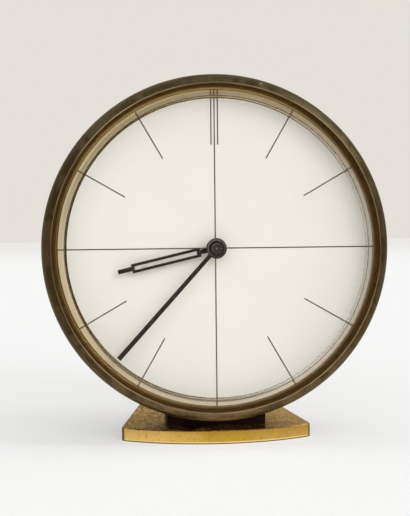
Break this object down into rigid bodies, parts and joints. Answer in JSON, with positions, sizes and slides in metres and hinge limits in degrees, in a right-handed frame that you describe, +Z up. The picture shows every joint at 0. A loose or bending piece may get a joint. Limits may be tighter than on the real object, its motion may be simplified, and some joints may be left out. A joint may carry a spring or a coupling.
{
  "type": "table clock",
  "caption": "Round wind-up table clock: brass bezel, raised crystal, off-white dial with line markings, black hands, dark neck and bowed brass base; key and knob at the back.",
  "frame": {"origin": "middle of the base plate's underside, on the surface the clock stands on", "axes": "+X to the right seen from the front, +Y to the back (the dial faces -Y), +Z up"},
  "size_m": [0.12, 0.0691, 0.1272],
  "materials": {
    "case_brass": "dark patina over polished brass",
    "base_brass": "polished, tarnished on top",
    "neck_dark": "dark brown lacquer",
    "clear": "clear acrylic",
    "dial_white": "matte off-white",
    "print": "printed lines",
    "hand_black": "semi-gloss black",
    "hand_fill": "pale matte paint",
    "cover_brass": "satin",
    "plate_brass": "brushed",
    "carrier_steel": "plain sheet",
    "steel": "polished",
    "spring_steel": "blued",
    "screw_steel": "turned"
  },
  "bodies": {
    "case": {"base_plate": "base_brass", "neck_block": "neck_dark", "base_screws": "screw_steel", "neck_screws": "screw_steel", "drum_case": "case_brass", "bezel": "case_brass", "crystal": "clear", "spacer_ring": "case_brass", "dial": "dial_white", "dial_markings": "print", "carrier_plate": "carrier_steel", "carrier_posts": "plate_brass", "carrier_screws": "screw_steel", "front_plate": "plate_brass", "back_plate": "plate_brass", "pillars": "plate_brass", "pillar_screws": "screw_steel", "back_cover": "cover_brass", "cover_screws": "screw_steel", "minute_stud": "steel", "click_screw": "screw_steel", "click_spring": "spring_steel", "balance_screws": "steel", "hairspring_stud": "plate_brass", "banking_pins": "steel"},
    "minute_group": {"minute_arbor": "steel", "cannon_pinion": "steel", "minute_hand": "hand_black", "hand_nut": "hand_black", "setting_knob": "cover_brass"},
    "minute_wheel_group": {"minute_wheel": "plate_brass", "minute_pinion": "steel"},
    "hour_group": {"hour_wheel": "plate_brass", "hour_hand": "hand_black", "hour_hand_fill": "hand_fill"},
    "winding_group": {"winding_arbor": "steel", "ratchet_wheel": "steel", "winding_key": "cover_brass"},
    "click_group": {"click": "steel"},
    "barrel_group": {"barrel": "plate_brass", "barrel_cover": "plate_brass", "mainspring": "spring_steel"},
    "intermediate_group": {"intermediate_wheel": "plate_brass", "intermediate_pinion": "steel"},
    "centre_group": {"centre_wheel": "plate_brass", "centre_pinion": "steel"},
    "third_group": {"third_wheel": "plate_brass", "third_pinion": "steel"},
    "fourth_group": {"fourth_wheel": "plate_brass", "fourth_pinion": "steel"},
    "escape_group": {"escape_wheel": "plate_brass", "escape_pinion": "steel"},
    "lever_group": {"pallet_lever": "steel"},
    "balance_group": {"balance_wheel": "plate_brass", "balance_staff": "steel", "hairspring": "spring_steel"},
    "regulator_group": {"regulator": "cover_brass"}
  },
  "joints": [
    {"name": "minute_turn", "type": "hinge", "parent": "case", "child": "minute_group", "pos_m": [0, -0.0091, 0.0672], "axis": [0, 1, 0], "continuous": true},
    {"name": "minute_wheel_turn", "type": "hinge", "parent": "case", "child": "minute_wheel_group", "pos_m": [0.0048, -0.0091, 0.05889], "axis": [0, 1, 0], "continuous": true},
    {"name": "hour_turn", "type": "hinge", "parent": "case", "child": "hour_group", "pos_m": [0, -0.0091, 0.0672], "axis": [0, 1, 0], "continuous": true},
    {"name": "winding_turn", "type": "hinge", "parent": "case", "child": "winding_group", "pos_m": [-0.01246, -0.0091, 0.05468], "axis": [0, -1, 0], "range_deg": [0, 2160]},
    {"name": "click_lift", "type": "hinge", "parent": "case", "child": "click_group", "pos_m": [-0.00296, -0.0091, 0.04874], "axis": [0, 1, 0], "range_deg": [0, 10], "stiffness_Nm_per_rad": 0.00005, "springref_deg": -11.46, "deforming": ["click_spring"]},
    {"name": "fourth_turn", "type": "hinge", "parent": "case", "child": "fourth_group", "pos_m": [0.00846, -0.0091, 0.08186], "axis": [0, 1, 0], "continuous": true},
    {"name": "third_turn", "type": "hinge", "parent": "case", "child": "third_group", "pos_m": [0.01218, -0.0091, 0.07163], "axis": [0, 1, 0], "continuous": true},
    {"name": "centre_turn", "type": "hinge", "parent": "case", "child": "centre_group", "pos_m": [0, -0.0091, 0.0672], "axis": [0, 1, 0], "continuous": true},
    {"name": "intermediate_turn", "type": "hinge", "parent": "case", "child": "intermediate_group", "pos_m": [0.00516, -0.0091, 0.05376], "axis": [0, 1, 0], "continuous": true},
    {"name": "barrel_turn", "type": "hinge", "parent": "case", "child": "barrel_group", "pos_m": [-0.01246, -0.0091, 0.05468], "axis": [0, 1, 0], "continuous": true},
    {"name": "escape_turn", "type": "hinge", "parent": "case", "child": "escape_group", "pos_m": [-0.00088, -0.0091, 0.08725], "axis": [0, 1, 0], "continuous": true},
    {"name": "lever_rock", "type": "hinge", "parent": "case", "child": "lever_group", "pos_m": [-0.00777, -0.0091, 0.08603], "axis": [0, 1, 0], "range_deg": [-4, 4]},
    {"name": "balance_swing", "type": "hinge", "parent": "case", "child": "balance_group", "pos_m": [-0.01664, -0.0091, 0.08447], "axis": [0, 1, 0], "range_deg": [-220, 220], "stiffness_Nm_per_rad": 0.000015, "deforming": ["hairspring"]},
    {"name": "regulator_set", "type": "hinge", "parent": "case", "child": "regulator_group", "pos_m": [-0.01664, -0.0091, 0.08447], "axis": [0, 1, 0], "range_deg": [-15, 15]}
  ],
  "couplings": [
    {"joint": "minute_wheel_turn", "follows": "minute_turn", "ratio": -0.33333},
    {"joint": "hour_turn", "follows": "minute_turn", "ratio": 0.083333},
    {"joint": "third_turn", "follows": "fourth_turn", "ratio": -0.13333},
    {"joint": "centre_turn", "follows": "fourth_turn", "ratio": 0.016667},
    {"joint": "intermediate_turn", "follows": "fourth_turn", "ratio": -0.0033333},
    {"joint": "barrel_turn", "follows": "fourth_turn", "ratio": 0.00055556},
    {"joint": "escape_turn", "follows": "fourth_turn", "ratio": -10}
  ]
}
